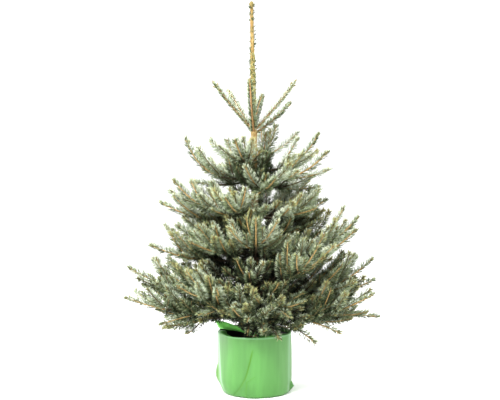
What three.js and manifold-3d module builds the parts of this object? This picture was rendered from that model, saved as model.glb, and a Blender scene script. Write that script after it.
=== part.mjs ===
// A young blue spruce in a nursery pot, with the pot wrapped in thin green film.
// Millimetres, +Z up. The origin is the centre of the flat underside of the wrapped pot.
// Azimuths are in degrees: 0 points along +X and 90 along +Y. A rise is degrees above level.
import * as THREE from "three";
import { mergeVertices } from "three/addons/utils/BufferGeometryUtils.js";
import Module from "manifold-3d";

// ---------- Driving dimensions ----------
const GAP = 0.35; // clearance between two solids that touch on the real plant
const SEED = 7;

const FILM = {
  radius: 121, height: 194, wall: 1.5, segments: 32,
  levels: [0, 0.06, 0.18, 0.32, 0.66, 1], // shares of the height
  tuck: 5, leftTuck: 13, tuckShare: 0.3, // how far the foot is drawn in, and up to where
  wideFold: { depth: 1.6, count: 3, turn: 0.6 }, // soft folds round the film
  narrowFold: { depth: 1.1, count: 7, twist: 4 },
  flatShare: 0.4, // how much of a fold is left at the foot
};
// The film's mouth rises over the film's height and leans in. Each of its folds adds to both, round
// an azimuth and over a width in degrees: the gathered back, the loose left, the right corner, and
// the front that is turned in over the soil.
const MOUTH = {
  rise: 2, lean: 2,
  folds: [
    { azimuth: 100, width: 52, rise: 8, lean: 22 },
    { azimuth: 165, width: 26, rise: 28, lean: -9 },
    { azimuth: 354, width: 12, rise: 12, lean: 0 },
    { azimuth: 298, width: 24, rise: 9, lean: 42 },
  ],
};
const POT = {
  rimRadius: 114.5, topRadius: 111, footRadius: 92, wall: 2.2, height: 184, rimDepth: 12, segments: 28,
};
const SOIL = { top: 170, clearance: 1, segments: 24 };

const TRUNK = {
  foot: SOIL.top + GAP,
  tip: 1268,
  footRadius: 14.5,
  flare: 8,
  flareHeight: 34,
  collarRadius: 9, // at the top whorl, where the leader starts
  tipRadius: 4.6,
  leaderLean: -11, // how far the leader's tip stands off the trunk's line, along X
  bow: 1.5, // how far the trunk swings off plumb
  bowLength: 150,
  flareRings: [0, 10, 22, 36], // heights over the foot
  firstRing: 256, ringPitch: 72, lastRing: 30, // the rings above, up to so far under the collar
  sides: 8,
};
const LEADER = {
  peg: 9, lowPeg: 13, pegVary: 0.5, bare: 50, pitch: 21, twist: 0.8,
  budRadius: 6.2, budLength: 15, budShare: 0.55,
};

// A tooth of the needle sprays: how far it stands out of its shoot at the foot and at the tip, and
// at how many degrees to it.
const NEEDLE = { reach: 19, tipReach: 12, vary: 0.28, lean: 56 };
const PITCH = 50; // length of a shoot that one ring of teeth takes
const SHOOT = { sides: 3, footRadius: 6, tipRadius: 4, bud: 10, twist: 47, steps: 12 };
const BOUGH_SWAY = 16; // the most that one bough swings sideways against another, in degrees

// Each tier is a whorl on the trunk, from the leader's foot down. A bough is
// [azimuth, height over the whorl, length, rise at its foot, rise at its tip]. bare is the share of a
// bough that is a limb with no needles; where it is 0 the needles start after a short bare stem.
const TIERS = [
  {
    name: "top", height: 845, bare: 0, stem: 26, stations: [], spread: 0, bend: 1,
    boughs: [[186, 5, 198, 46, 54], [132, -5, 186, 50, 50], [80, 5, 172, 54, 36],
      [28, -5, 170, 30, 44], [352, 5, 202, 46, 54], [262, -5, 186, 50, 74]],
  },
  {
    name: "upper", height: 720, bare: 0, stem: 20, stations: [0.36], spread: 44, bend: 0.85,
    boughs: [[194, -10, 286, -30, 74], [160, -24, 226, -22, 14], [118, 4, 238, -6, 52],
      [64, 14, 214, 14, 64], [20, -30, 238, -24, 10], [350, 6, 254, -16, 66],
      [328, -16, 292, -20, 46], [246, 12, 168, 0, 58], [286, -48, 204, -20, 30]],
  },
  {
    name: "crown", height: 587, bare: 0, stem: 24, stations: [0.56, 0.4, 0.24], spread: 46, bend: 0.85,
    boughs: [[204, 4, 312, -20, 54], [174, -14, 318, -18, 30], [132, -4, 296, -12, 26],
      [84, -8, 290, -6, 34], [46, -4, 264, -12, 34], [8, -14, 250, -14, 34],
      [322, 0, 250, -14, 20], [248, -10, 284, -6, 30]],
  },
  {
    name: "middle", height: 457, bare: 0, stem: 60, stations: [0.6, 0.46, 0.32], spread: 46, bend: 0.9,
    boughs: [[28, 52, 262, -12, 42], [354, -8, 372, -14, 50], [332, -36, 392, -12, 46],
      [66, -10, 344, -10, 30], [116, 14, 344, -10, 30], [150, 30, 306, -14, 30],
      [178, -18, 350, -14, 24], [228, 0, 290, -8, 26], [272, -10, 300, -8, 58]],
  },
  {
    name: "lower", height: 346, bare: 0.32, stem: 0, stations: [0.64, 0.52, 0.42], spread: 46, bend: 1,
    boughs: [[306, 12, 364, -6, 52], [348, -22, 414, -12, 46], [14, -50, 424, -10, 26],
      [70, 10, 392, -8, 22], [134, -24, 404, -10, 32], [174, -18, 430, -12, 32],
      [224, -30, 352, -10, 30]],
  },
  {
    name: "base", height: 240, bare: 0.34, stem: 0, stations: [0.66, 0.54, 0.44], spread: 48, bend: 1.1,
    boughs: [[338, 6, 414, -6, 34], [20, 0, 372, -7, 8], [92, 6, 350, -6, 6],
      [188, 12, 424, -4, 22], [258, 6, 266, -2, 30]],
  },
];
// Side shoots: the length is base plus a share of what the bough has left; the rise follows the
// bough's by a share, starts so much steeper, varies by climb and grows by lift up to the tip.
const SIDE_SHOOT = {
  base: 72, share: 0.38, vary: 0.44, shift: 0.05, turn: 16, rise: 13, follow: 0.6, climb: 40, lift: 24,
  bend: 1.3, sway: 10, start: 16, footRadius: 3.6, clearance: 0.4,
};
const LIMB = { footRadius: 5.8, tipRadius: 4.4, sides: 6, ring: 34 };

// ---------- Materials ----------
const finish = (color, roughness) => new THREE.MeshStandardMaterial({ color, roughness, metalness: 0 });
const MATERIALS = {
  film: finish("#6fc36c", 0.35),
  pot: finish("#1d1f1e", 0.6),
  soil: finish("#3b2c20", 0.95),
  bark: finish("#a9855a", 0.85),
  limb: finish("#8d6b45", 0.85),
  needles: finish("#71897a", 0.6),
};

// ---------- Small helpers ----------
const UP = new THREE.Vector3(0, 0, 1);
const radians = THREE.MathUtils.degToRad;
const mix = THREE.MathUtils.lerp;

// A repeatable number from 0 to 1 for a list of whole-number keys.
function chance(...keys) {
  let h = SEED;
  for (const key of keys) {
    h = Math.imul(h ^ (key + 374761393), 668265263) >>> 0;
    h = Math.imul(h ^ (h >>> 13), 2246822519) >>> 0;
    h = (h ^ (h >>> 16)) >>> 0;
  }
  return h / 4294967296;
}

// A repeatable factor about 1, within half of vary to each side.
const aboutOne = (vary, ...keys) => 1 + vary * (chance(...keys) - 0.5);

// The unit vector with this azimuth and rise.
function heading(azimuth, rise) {
  const [a, e] = [radians(azimuth), radians(rise)];
  return new THREE.Vector3(Math.cos(a) * Math.cos(e), Math.sin(a) * Math.cos(e), Math.sin(e));
}

// Two directions square to d, so that first, second and d are a right-handed set.
function squareTo(d) {
  const first = new THREE.Vector3().crossVectors(UP, d);
  if (first.lengthSq() < 1e-6) first.set(1, 0, 0);
  first.normalize();
  return [first, new THREE.Vector3().crossVectors(d, first)];
}

// ---------- Solids ----------
const wasm = await Module();
wasm.setup();

function toSolid(geometry) {
  const bare = new THREE.BufferGeometry().setAttribute("position", geometry.getAttribute("position"));
  bare.setIndex(geometry.index);
  const merged = mergeVertices(bare, 1e-4);
  return new wasm.Manifold(
    new wasm.Mesh({
      numProp: 3,
      vertProperties: new Float32Array(merged.attributes.position.array),
      triVerts: new Uint32Array(merged.index.array),
    }),
  );
}

function toGeometry(solid) {
  const made = solid.getMesh();
  const geometry = new THREE.BufferGeometry();
  geometry.setAttribute("position", new THREE.BufferAttribute(new Float32Array(made.vertProperties), 3));
  geometry.setIndex(new THREE.BufferAttribute(new Uint32Array(made.triVerts), 1));
  geometry.computeVertexNormals();
  return geometry;
}

// The largest closed body of a solid, without the scraps that a cut leaves.
function largestBody(solid) {
  return solid.decompose().reduce((best, body) => (body.volume() > best.volume() ? body : best));
}

// Collects vertices and faces, then gives a geometry.
class Shell {
  points = [];
  faces = [];
  add(point) {
    return this.points.push(point.x, point.y, point.z) / 3 - 1;
  }
  quad(a, b, c, d) {
    this.faces.push(a, b, c, a, c, d);
  }
  // Four faces that rise from the quad to one apex.
  tooth(a, b, c, d, apex) {
    this.faces.push(a, b, apex, b, c, apex, c, d, apex, d, a, apex);
  }
  // Closes a ring of vertices with faces round one more vertex.
  fan(ring, centre, flip) {
    ring.forEach((v, i) => {
      const next = ring[(i + 1) % ring.length];
      this.faces.push(...(flip ? [next, v, centre] : [v, next, centre]));
    });
  }
  geometry() {
    const made = new THREE.BufferGeometry();
    made.setAttribute("position", new THREE.Float32BufferAttribute(this.points, 3));
    made.setIndex(this.faces);
    return made;
  }
}

// A closed tube through stations {centre, direction, radius, turn}, ending in a point past the
// last one. reachOf(band, side) is how far a tooth stands out of that face, or 0 for none.
function toothedTube(stations, sides, pointLength, reachOf = () => 0) {
  const shell = new Shell();
  const rings = stations.map(({ centre, direction, radius, turn = 0 }) => {
    const [first, second] = squareTo(direction);
    return Array.from({ length: sides }, (_, j) => {
      const angle = radians(turn) + (2 * Math.PI * j) / sides;
      return shell.add(
        centre.clone().addScaledVector(first, radius * Math.cos(angle))
          .addScaledVector(second, radius * Math.sin(angle)),
      );
    });
  });
  const corner = (id) => new THREE.Vector3().fromArray(shell.points, id * 3);
  for (let i = 0; i + 1 < rings.length; i++) {
    const { direction } = stations[i];
    const middle = stations[i].centre.clone().lerp(stations[i + 1].centre, 0.5);
    for (let j = 0; j < sides; j++) {
      const k = (j + 1) % sides;
      const quad = [rings[i][j], rings[i][k], rings[i + 1][k], rings[i + 1][j]];
      const reach = reachOf(i, j);
      if (!reach) {
        shell.quad(...quad);
        continue;
      }
      const root = quad.map(corner).reduce((sum, p) => sum.add(p)).multiplyScalar(0.25);
      const outward = root.clone().sub(middle);
      outward.addScaledVector(direction, -outward.dot(direction)).normalize();
      const lean = radians(NEEDLE.lean);
      root.addScaledVector(outward, reach * Math.sin(lean));
      root.addScaledVector(direction, reach * Math.cos(lean));
      shell.tooth(...quad, shell.add(root));
    }
  }
  const [foot, tip] = [stations[0], stations[stations.length - 1]];
  shell.fan(rings[0], shell.add(foot.centre), true);
  const point = tip.centre.clone().addScaledVector(tip.direction, pointLength);
  shell.fan(rings[rings.length - 1], shell.add(point), false);
  return shell.geometry();
}

// ---------- Wrapped pot ----------
// The film stands off the round a little in broad soft folds, and draws in at its foot.
function filmRadius(angle, height) {
  const share = height / FILM.height;
  const leftward = 0.5 - 0.5 * Math.cos(angle); // 1 on the -X side
  const tuck = (FILM.tuck + FILM.leftTuck * leftward) * Math.max(0, 1 - share / FILM.tuckShare) ** 2;
  const { wideFold, narrowFold } = FILM;
  const wide = wideFold.depth * Math.sin(wideFold.count * angle + wideFold.turn);
  const narrow = narrowFold.depth * Math.sin(narrowFold.count * angle + narrowFold.twist * share);
  return FILM.radius - tuck + (wide + narrow) * mix(FILM.flatShare, 1, share);
}

// 1 at an azimuth, falling off to both sides over a width.
function bulge(angle, azimuth, width) {
  const turn = THREE.MathUtils.euclideanModulo(angle - radians(azimuth) + Math.PI, 2 * Math.PI) - Math.PI;
  return Math.exp(-((turn / radians(width)) ** 2));
}

// How high the film's mouth reaches, and how far that last part leans in over the soil.
function filmMouth(angle) {
  const sum = (what) => MOUTH.folds.reduce(
    (total, fold) => total + fold[what] * bulge(angle, fold.azimuth, fold.width), MOUTH[what]);
  return { rise: sum("rise"), lean: sum("lean") };
}

function filmWrap() {
  const shell = new Shell();
  const { height, wall, segments, levels } = FILM;
  const around = Array.from({ length: segments }, (_, j) => (2 * Math.PI * j) / segments);
  const ringOf = (radiusOf, levelOf) =>
    around.map((angle) => {
      const radius = radiusOf(angle);
      const spot = new THREE.Vector3(radius * Math.cos(angle), radius * Math.sin(angle), levelOf(angle));
      return shell.add(spot);
    });
  const outer = levels.map((share) => ringOf((a) => filmRadius(a, share * height), () => share * height));
  const lip = ringOf(
    (a) => filmRadius(a, height) - filmMouth(a).lean,
    (a) => height + filmMouth(a).rise,
  );
  const innerLip = ringOf(
    (a) => filmRadius(a, height) - filmMouth(a).lean - wall,
    (a) => height + filmMouth(a).rise - wall,
  );
  const inner = levels.map((share) =>
    ringOf((a) => filmRadius(a, share * height) - wall, () => Math.max(wall, share * height - wall)));
  const rows = [...outer, lip, innerLip, ...inner.reverse()];
  for (let i = 0; i + 1 < rows.length; i++)
    for (let j = 0; j < segments; j++) {
      const k = (j + 1) % segments;
      shell.quad(rows[i][j], rows[i][k], rows[i + 1][k], rows[i + 1][j]);
    }
  shell.fan(rows[0], shell.add(new THREE.Vector3(0, 0, 0)), true);
  shell.fan(rows[rows.length - 1], shell.add(new THREE.Vector3(0, 0, wall)), false);
  return shell.geometry();
}

// A turned shape from [radius, height] pairs that start and end on the axis.
function turned(profile, segments) {
  const points = profile.map(([radius, height]) => new THREE.Vector2(radius, height));
  return new THREE.LatheGeometry(points, segments).rotateX(Math.PI / 2);
}

const POT_FLOOR = FILM.wall + GAP;

function nurseryPot() {
  const { rimRadius, topRadius, footRadius, wall, height, rimDepth, segments } = POT;
  return turned(
    [
      [0, POT_FLOOR], [footRadius, POT_FLOOR], [topRadius, height - rimDepth],
      [rimRadius, height - rimDepth], [rimRadius, height], [topRadius - wall, height],
      [footRadius - wall, POT_FLOOR + wall], [0, POT_FLOOR + wall],
    ],
    segments,
  );
}

function pottingSoil() {
  const { topRadius, footRadius, wall, height } = POT;
  const bottom = POT_FLOOR + wall + GAP;
  const inset = wall + 2 * GAP + SOIL.clearance;
  const radiusAt = (z) => mix(footRadius, topRadius, (z - POT_FLOOR) / (height - POT_FLOOR)) - inset;
  return turned(
    [[0, bottom], [radiusAt(bottom), bottom], [radiusAt(SOIL.top), SOIL.top], [0, SOIL.top]],
    SOIL.segments,
  );
}

// ---------- Trunk ----------
const COLLAR = TIERS[0].height;

// The middle of the trunk at a height: nearly plumb, with the leader leaning a little.
function trunkCentre(z) {
  const along = Math.max(0, (z - COLLAR) / (TRUNK.tip - COLLAR));
  const bow = TRUNK.bow * Math.sin((z - TRUNK.foot) / TRUNK.bowLength);
  return new THREE.Vector3(bow + TRUNK.leaderLean * along, bow * (1 - along), z);
}

function trunkRadius(z) {
  const onLeader = (z - COLLAR) / (TRUNK.tip - COLLAR);
  if (onLeader > 0) return mix(TRUNK.collarRadius - 1, TRUNK.tipRadius, onLeader);
  const flare = TRUNK.flare * Math.max(0, 1 - (z - TRUNK.foot) / TRUNK.flareHeight) ** 2;
  return mix(TRUNK.footRadius, TRUNK.collarRadius, (z - TRUNK.foot) / (COLLAR - TRUNK.foot)) + flare;
}

// extra makes the trunk stouter, for cutting other solids clear of it.
function trunkStations(extra = 0) {
  const heights = TRUNK.flareRings.map((h) => TRUNK.foot + h);
  for (let z = TRUNK.firstRing; z < COLLAR - TRUNK.lastRing; z += TRUNK.ringPitch) heights.push(z);
  const leaderBands = Math.round((TRUNK.tip - LEADER.budLength - COLLAR) / LEADER.pitch);
  for (let i = 0; i <= leaderBands; i++)
    heights.push(mix(COLLAR, TRUNK.tip - LEADER.budLength, i / leaderBands));
  const stations = heights.map((z) => ({
    centre: trunkCentre(z),
    direction: UP,
    radius: trunkRadius(z) + extra,
    turn: Math.max(0, z - COLLAR) * LEADER.twist,
  }));
  const centre = trunkCentre(TRUNK.tip - LEADER.budLength * LEADER.budShare);
  return [...stations, { ...stations[stations.length - 1], centre, radius: LEADER.budRadius + extra }];
}

function trunk(extra = 0) {
  const stations = trunkStations(extra);
  const pegs = (i, j) => {
    const z = stations[i].centre.z;
    if (z < COLLAR + LEADER.bare || i + 2 >= stations.length || (i + j) % 2) return 0;
    const share = (z - COLLAR) / (TRUNK.tip - COLLAR);
    return mix(LEADER.lowPeg, LEADER.peg, share) * aboutOne(LEADER.pegVary, i, j) + 3 * extra;
  };
  return toothedTube(stations, TRUNK.sides, LEADER.budLength * LEADER.budShare, pegs);
}

// ---------- Growth ----------
// A path that starts with one rise and bends to another, with a slight sway sideways.
function growPath(start, azimuth, riseFoot, riseTip, length, bend, sway) {
  const { steps } = SHOOT;
  const path = { points: [start.clone()], azimuth, riseFoot, riseTip, length, bend, sway };
  for (let i = 0; i < steps; i++) {
    const direction = directionAt(path, (i + 0.5) / steps);
    path.points.push(path.points[i].clone().addScaledVector(direction, length / steps));
  }
  return path;
}

const azimuthAt = (path, share) => path.azimuth + path.sway * share;
const riseAt = (path, share) => mix(path.riseFoot, path.riseTip, share ** path.bend);
const directionAt = (path, share) => heading(azimuthAt(path, share), riseAt(path, share));

function pointAt(path, share) {
  const last = path.points.length - 1;
  const i = Math.min(last - 1, Math.floor(share * last));
  return path.points[i].clone().lerp(path.points[i + 1], share * last - i);
}

// The bough's own line, from the trunk's middle to its furthest tip.
function boughPath(tier, t, b) {
  const [azimuth, above, length, riseFoot, riseTip] = tier.boughs[b];
  const sway = BOUGH_SWAY * (chance(t, b, 1) - 0.5);
  return growPath(trunkCentre(tier.height + above), azimuth, riseFoot, riseTip, length, tier.bend, sway);
}

// The side shoots of a bough: a pair at each station, one to the left and one to the right.
function sideShoots(path, tier, t, b) {
  return tier.stations.flatMap((station, n) =>
    [-1, 1].map((side, m) => {
      const vary = (what) => chance(t, b, n, m, what) - 0.5;
      const share = station + SIDE_SHOOT.shift * vary(1);
      const full = SIDE_SHOOT.base + SIDE_SHOOT.share * (1 - share) * path.length;
      const azimuth = azimuthAt(path, share) + side * (tier.spread + SIDE_SHOOT.turn * vary(2));
      const { follow, climb, lift, bend, sway } = SIDE_SHOOT;
      const rise = SIDE_SHOOT.rise + riseAt(path, share) * follow + climb * vary(3);
      const length = full * (1 + SIDE_SHOOT.vary * vary(4));
      return growPath(pointAt(path, share), azimuth, rise, rise + lift, length, bend, -side * sway);
    }),
  );
}

// A shoot with rings of teeth. stem is how much of it stays bare, and extra makes it stouter.
function needledShoot(path, { from = 0, stem = 0, foot = SHOOT.footRadius, key = 0, extra = 0 }) {
  const start = from * path.length;
  const bands = Math.max(2, Math.round((path.length - SHOOT.bud - start - stem) / PITCH));
  const marks = [start];
  if (stem) marks.push(start + stem);
  const toothed = marks.length - 1;
  for (let i = 1; i <= bands; i++) marks.push(mix(start + stem, path.length - SHOOT.bud, i / bands));
  const stations = marks.map((mark, i) => ({
    centre: pointAt(path, mark / path.length),
    direction: directionAt(path, mark / path.length),
    radius: mix(foot, SHOOT.tipRadius, (mark - start) / (path.length - start)) + extra,
    turn: i * SHOOT.twist,
  }));
  const reachOf = (i, j) => {
    if (i < toothed) return 0;
    const reach = mix(NEEDLE.reach, NEEDLE.tipReach, (i - toothed) / bands);
    return (reach + extra) * aboutOne(NEEDLE.vary, key, i, j);
  };
  return toSolid(toothedTube(stations, SHOOT.sides, SHOOT.bud, reachOf));
}

// A bare limb from the trunk to where its needles start.
function limb(path, share) {
  const rings = Math.max(2, Math.round((share * path.length) / LIMB.ring));
  const stations = Array.from({ length: rings + 1 }, (_, i) => {
    const s = (share * i) / rings;
    return {
      centre: pointAt(path, s),
      direction: directionAt(path, s),
      radius: mix(LIMB.footRadius, LIMB.tipRadius, i / rings),
    };
  });
  return toSolid(toothedTube(stations, LIMB.sides, 0));
}

// ---------- Assembly ----------
const plant = new THREE.Group();

function place(name, geometry, material) {
  const mesh = new THREE.Mesh(geometry, material);
  mesh.name = name;
  plant.add(mesh);
  return mesh;
}

// True where two boxes come within reach of each other.
function near(a, b) {
  const [p, q] = [a.boundingBox(), b.boundingBox()];
  return [0, 1, 2].every((k) => p.min[k] <= q.max[k] + 1 && q.min[k] <= p.max[k] + 1);
}
const touches = (a, others) => others.some((b) => near(a, b) && a.intersect(b).volume() > 1e-6);

place("film_wrap", filmWrap(), MATERIALS.film);
place("nursery_pot", nurseryPot(), MATERIALS.pot);
place("potting_soil", pottingSoil(), MATERIALS.soil);
place("trunk", trunk(), MATERIALS.bark);

const wrap = toSolid(filmWrap());
const clearTrunk = toSolid(trunk(GAP));

// Every bough is laid out first, so that side shoots can keep clear of all of them.
const laidOut = TIERS.flatMap((tier, t) =>
  tier.boughs.map((_, b) => {
    const path = boughPath(tier, t, b);
    const clear = GAP / path.length;
    const bough = tier.bare ? limb(path, tier.bare).subtract(clearTrunk) : null;
    const key = 100 * t + b;
    const from = tier.bare ? tier.bare + clear : 0;
    const options = { from, stem: tier.stem, key };
    const axis = needledShoot(path, options).subtract(clearTrunk);
    return { tier, t, b, path, key, bough, shoots: [largestBody(axis)] };
  }),
);

for (const one of laidOut) {
  const others = laidOut.filter((o) => o !== one);
  sideShoots(one.path, one.tier, one.t, one.b).forEach((path, n) => {
    const options = { stem: SIDE_SHOOT.start, foot: SIDE_SHOOT.footRadius, key: one.key * 10 + n + 1 };
    const roomy = needledShoot(path, { ...options, extra: SIDE_SHOOT.clearance });
    const limbs = laidOut.map((o) => o.bough).filter(Boolean);
    if (touches(roomy, [wrap, clearTrunk, ...others.flatMap((o) => o.shoots), ...limbs])) return;
    one.shoots.push(needledShoot(path, options));
  });
}

for (const { tier, b, bough, shoots } of laidOut) {
  const mass = largestBody(shoots.reduce((sum, shoot) => sum.add(shoot)));
  if (bough) place(`${tier.name}_bough_${b + 1}`, toGeometry(largestBody(bough)), MATERIALS.limb);
  place(`${tier.name}_mass_${b + 1}`, toGeometry(mass), MATERIALS.needles);
}

export default plant;
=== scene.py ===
"""A young blue spruce in a nursery pot, with the pot wrapped in thin green film.

Metres, +Z up. The origin is the centre of the wrapped pot's flat underside. The growth rule
works in millimetres and degrees: azimuth 0 is +X and 90 is +Y, and a rise is degrees above level.
"""

import math

import bmesh
import bpy
import numpy as np
from bpy.props import FloatProperty, FloatVectorProperty, IntProperty, PointerProperty
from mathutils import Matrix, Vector, noise


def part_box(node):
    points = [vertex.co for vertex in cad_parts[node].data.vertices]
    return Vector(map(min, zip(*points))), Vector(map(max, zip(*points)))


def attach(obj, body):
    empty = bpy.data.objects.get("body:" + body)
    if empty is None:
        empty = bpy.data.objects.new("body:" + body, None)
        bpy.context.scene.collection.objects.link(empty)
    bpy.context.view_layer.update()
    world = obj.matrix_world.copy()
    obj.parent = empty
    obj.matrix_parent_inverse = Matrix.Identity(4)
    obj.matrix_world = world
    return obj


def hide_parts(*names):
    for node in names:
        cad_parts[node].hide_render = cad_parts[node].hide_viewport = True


bl_info = {
    "name": "Wrapped Blue Spruce",
    "version": (1, 0, 0),
    "blender": (4, 5, 0),
    "location": "View3D > Sidebar > Spruce",
    "description": "Grows a young blue spruce with needled shoots in a film-wrapped nursery pot",
    "category": "Add Mesh",
}

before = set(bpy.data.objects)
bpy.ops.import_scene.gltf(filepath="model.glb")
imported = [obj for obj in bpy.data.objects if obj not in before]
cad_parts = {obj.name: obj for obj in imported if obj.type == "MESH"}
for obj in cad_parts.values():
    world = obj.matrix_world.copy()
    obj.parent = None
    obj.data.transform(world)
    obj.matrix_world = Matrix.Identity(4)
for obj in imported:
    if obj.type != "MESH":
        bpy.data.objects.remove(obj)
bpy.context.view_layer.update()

BODY = "root"
MM = 0.001
SEED = 7
STEPS = 12  # straight pieces that make up the line of a shoot

SOIL_TOP = 170.35
COLLAR = 845  # height of the top whorl, where the leader starts
TRUNK_TIP = 1268
LEADER_LEAN = -11
TRUNK_BOW, BOW_LENGTH = 1.5, 150
TRUNK_FOOT_RADIUS = 14.5
COLLAR_RADIUS = 9.0
LEADER_TIP_RADIUS = 4.6
FLARE = 8.0
FLARE_HEIGHT = 34.0

# A bough is azimuth, height over its whorl, length, rise at its foot and rise at its tip. bare is the
# share of it that is a limb with no needles, stations are the shares where strong shoots stand, and
# spread is their angle to it. round is the share of shoots with needles all round, and fine_to is
# where the fine shoots end.
TIERS = [
    {
        "name": "top", "height": 845, "bare": 0, "bend": 1,
        "boughs": [(186, 5, 198, 46, 54), (132, -5, 186, 50, 50), (80, 5, 172, 54, 36),
                   (28, -5, 170, 30, 44), (352, 5, 202, 46, 54), (262, -5, 186, 50, 74)],
    },
    {
        "name": "upper", "height": 720, "bare": 0, "bend": 0.85, "stations": [0.36], "spread": 44,
        "sparse": True, "round": 0.4, "fine_to": 0.46,
        "boughs": [(194, -10, 286, -30, 74), (160, -24, 226, -22, 14), (118, 4, 238, -6, 52),
                   (64, 14, 214, 14, 64), (20, -30, 238, -24, 10), (350, 6, 254, -16, 66),
                   (328, -16, 292, -20, 46), (246, 12, 168, 0, 58), (286, -48, 204, -20, 30)],
    },
    {
        "name": "crown", "height": 587, "bare": 0, "bend": 0.85, "stations": [0.56, 0.4, 0.24],
        "spread": 46, "sparse": True, "round": 0.35,
        "boughs": [(204, 4, 312, -20, 54), (174, -14, 318, -18, 30), (132, -4, 296, -12, 26),
                   (84, -8, 290, -6, 34), (46, -4, 264, -12, 34), (8, -14, 250, -14, 34),
                   (322, 0, 250, -14, 20), (248, -10, 284, -6, 30)],
    },
    {
        "name": "middle", "height": 457, "bare": 0, "bend": 0.9, "stations": [0.6, 0.46, 0.32],
        "spread": 46, "round": 0.42,
        "boughs": [(28, 52, 262, -12, 42), (354, -8, 372, -14, 50), (332, -36, 392, -12, 46),
                   (66, -10, 344, -10, 30), (116, 14, 344, -10, 30), (150, 30, 306, -14, 30),
                   (178, -18, 350, -14, 24), (228, 0, 290, -8, 26), (272, -10, 300, -8, 58)],
    },
    {
        "name": "lower", "height": 346, "bare": 0.32, "bend": 1, "stations": [0.64, 0.52, 0.42],
        "spread": 46,
        "boughs": [(306, 12, 364, -6, 52), (348, -22, 414, -12, 46), (14, -50, 424, -10, 26),
                   (70, 10, 392, -8, 22), (134, -24, 404, -10, 32), (174, -18, 430, -12, 32),
                   (224, -30, 352, -10, 30)],
    },
    {
        "name": "base", "height": 240, "bare": 0.34, "bend": 1.1, "stations": [0.66, 0.54, 0.44],
        "spread": 48,
        "boughs": [(338, 6, 414, -6, 34), (20, 0, 372, -7, 8), (92, 6, 350, -6, 6),
                   (188, 12, 424, -4, 22), (258, 6, 266, -2, 30)],
    },
]
# Side shoots: the length is base plus a share of what the bough has left; the rise follows the
# bough's by a share, starts so much steeper, varies by climb and grows by lift up to the tip.
SIDE_SHOOT = {
    "base": 72, "share": 0.38, "vary": 0.44, "shift": 0.05, "turn": 16, "rise": 13, "follow": 0.6,
    "climb": 40, "lift": 24, "bend": 1.3, "sway": 10,
}
BOUGH_SWAY = 16
ROUND_SHARE = 0.6  # where a tier has no round of its own

# Low boughs that droop over the pot's rim, and smaller ones between the whorls.
SKIRT = {
    "height": 254, "bend": 1.3, "stations": [0.62, 0.4], "spread": 42,
    "boughs": [(264, 4, 196, 6, -28), (274, 10, 232, 8, -30), (288, 0, 214, 4, -34),
               (314, 2, 262, 0, -34), (224, 22, 250, 6, -6), (200, 16, 320, 2, -16),
               (336, 6, 300, 0, -20), (268, 44, 250, -4, -10), (296, 50, 262, 0, -12),
               (236, 46, 250, 0, -10), (112, 10, 270, 6, -16), (66, 8, 280, 4, -22),
               (22, 30, 300, 0, -10), (262, -36, 148, 6, -14), (275, -34, 150, 6, -18),
               (290, -22, 160, 8, -14), (304, -14, 170, 8, -10), (268, 24, 206, 8, -18),
               (354, 16, 400, -2, -4), (184, 4, 300, -6, -12)],
}
BETWEEN = {
    "count": 22, "low": 252, "high": 520, "low_length": 240, "high_length": 160,
    "bend": 1.3, "stations": [0.6, 0.36], "spread": 44,
}
SPIRAL = 137.5  # degrees from one to the next of the boughs and shoots that stand in a spiral
FINE = {"spacing": 42, "scale": 0.62, "climb": 90}  # small side shoots on older wood
PAIR = {"place": 0.3, "longest": 128, "scale": 0.5}  # the pair that a strong side shoot carries
UPRIGHT = {  # the shoot that stands up from each station
    "scale": 0.94, "sparse_scale": 0.7, "turn": 8, "rise": 34, "vary": 16, "least": 20, "most": 74,
    "lift": 8,
}
# Short single shoots that stand up round the trunk under the upper whorl.
TRUNK_SHOOTS = {"count": 34, "low": 636, "high": 712, "low_length": 112, "high_length": 92}

# Needles: widest is a share of the length, lean the angle to the shoot. Over the last tip millimetres
# they lie closer and get shorter, and over the first foot millimetres they are short too.
NEEDLE = {
    "widest": 0.58, "lean": 62, "top_lean": 54, "lean_vary": 14, "close": 24, "tip": 48,
    "shorter": 0.34, "top_shorter": 0.2, "foot": 22, "foot_shorter": 0.22, "up": 0.1, "stray": 0.07,
}
# Below these heights needles have lost much of their bloom, the inner ones are the oldest and take a
# near-black that paints the shade deep in the crown, and the ones at the trunk take painted shade.
WEATHERED_BELOW, DEEP_SHADE_BELOW, SHADED_BELOW = 400, 600, 660
GLAUCOUS_OVER, GREEN_OVER = 0.62, 0.22  # what a shoot's dice must show for these tones
CROWN = {"low": 430, "taper": 300}  # how far the crown reaches at the soil, and how much less on top
MOST_FACES = 199000  # in one piece

LEADER_BUD = {"length": 15.0, "radius": 6.4}  # the bud that ends the trunk
RIDGED_FROM = 700  # the trunk has ridges above this height, and scales below it

# The film, in metres but for its angles in degrees. The free edge starts at top and swings to the
# left on its way down; the short fold beside it ends at short_top.
FILM_ROUND, FILM_HEIGHT = 121, 194  # mean radius and front height, in millimetres
FILM_SEAM = {"top": 0.163, "angle": -91.9, "swing": 17, "sweep": 24, "short_top": 0.074}
TURNED_IN = -160  # degrees, where the mouth is folded in at the left
UNDERSIDE, MOUTH = 0.12, 0.86  # shares of the film's grid where its wall starts and ends
FOOT_ROUND = 0.004  # height of the rounded edge at its foot
# The loose sheet in the film's mouth: its lower and its upper edge, from the left round to the front.
FLAP = [
    ((-104, 56, 184), (-120, 60, 222)), ((-112, 4, 203), (-131, 8, 234)),
    ((-88, -30, 207), (-102, 0, 230)), ((-46, -64, 206), (-50, -44, 221)),
    ((2, -96, 198), (0, -88, 210)), ((40, -98, 196), (40, -96, 206)),
]


# ---------- What a user may change ----------
def distance(name, description, default, low, high):
    """A length that a user may change, in metres."""
    return FloatProperty(name=name, description=description, default=default, min=low, max=high,
                         subtype="DISTANCE", unit="LENGTH")


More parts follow.
